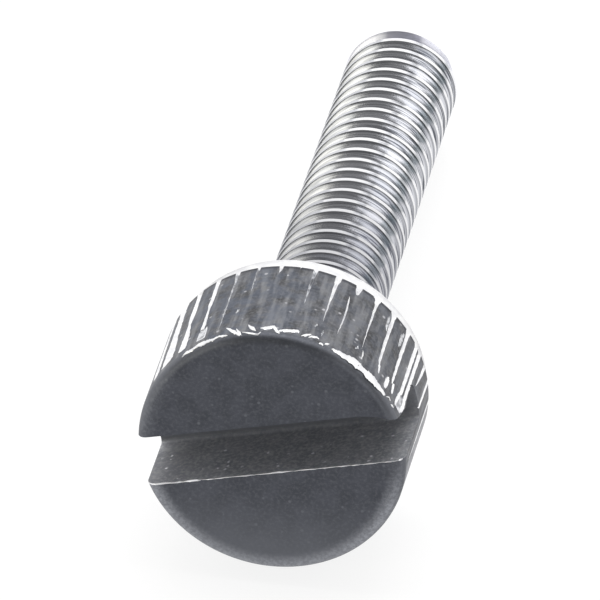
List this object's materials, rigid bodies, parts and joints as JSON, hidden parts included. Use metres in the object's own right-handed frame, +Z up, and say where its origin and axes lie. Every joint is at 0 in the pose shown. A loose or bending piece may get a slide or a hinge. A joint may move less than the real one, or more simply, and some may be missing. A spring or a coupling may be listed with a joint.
{
  "type": "thumb screw",
  "caption": "Slotted thumb screw with a tall straight-knurled head and an M4 shank, lying on its side as it comes to rest.",
  "frame": {"origin": "centre of the underside of the box round the screw as it lies on a table, so the table is at Z = 0", "axes": "+Y from the head towards the tip, level, with the screw's own axis 7 degrees below it; +Z up; +X to the right seen from the slotted face"},
  "size_m": [0.009, 0.026, 0.0095],
  "materials": {
    "zinc_plated_steel": "bright and streaked along the thread, dull mottled grey on the knurl and the slotted face"
  },
  "bodies": {
    "root": {"thumb_screw": "zinc_plated_steel"}
  },
  "joints": []
}
